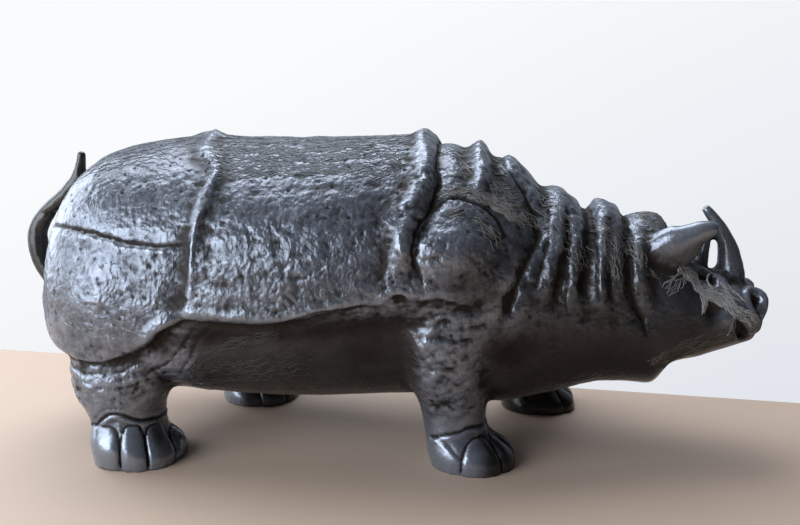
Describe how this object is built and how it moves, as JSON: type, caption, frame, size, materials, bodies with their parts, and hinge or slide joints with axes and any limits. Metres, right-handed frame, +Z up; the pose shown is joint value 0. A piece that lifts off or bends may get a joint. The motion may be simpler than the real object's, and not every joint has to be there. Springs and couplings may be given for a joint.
{
  "type": "ceramic rhinoceros figurine",
  "caption": "Dark glazed ceramic rhinoceros standing on flat soles, with armour plates, neck folds, horns on the snout and a tail curled up to the rump.",
  "frame": {"origin": "middle of the outline in plan, at the level of the soles", "axes": "+X towards the head, +Y to the figure's left, +Z up"},
  "size_m": [0.5396, 0.2046, 0.225],
  "materials": {
    "glaze": "satin graphite glaze over a knobbly hand-worked hide, burnished brighter on the high places"
  },
  "bodies": {
    "root": {"rhinoceros": "glaze"}
  },
  "joints": []
}
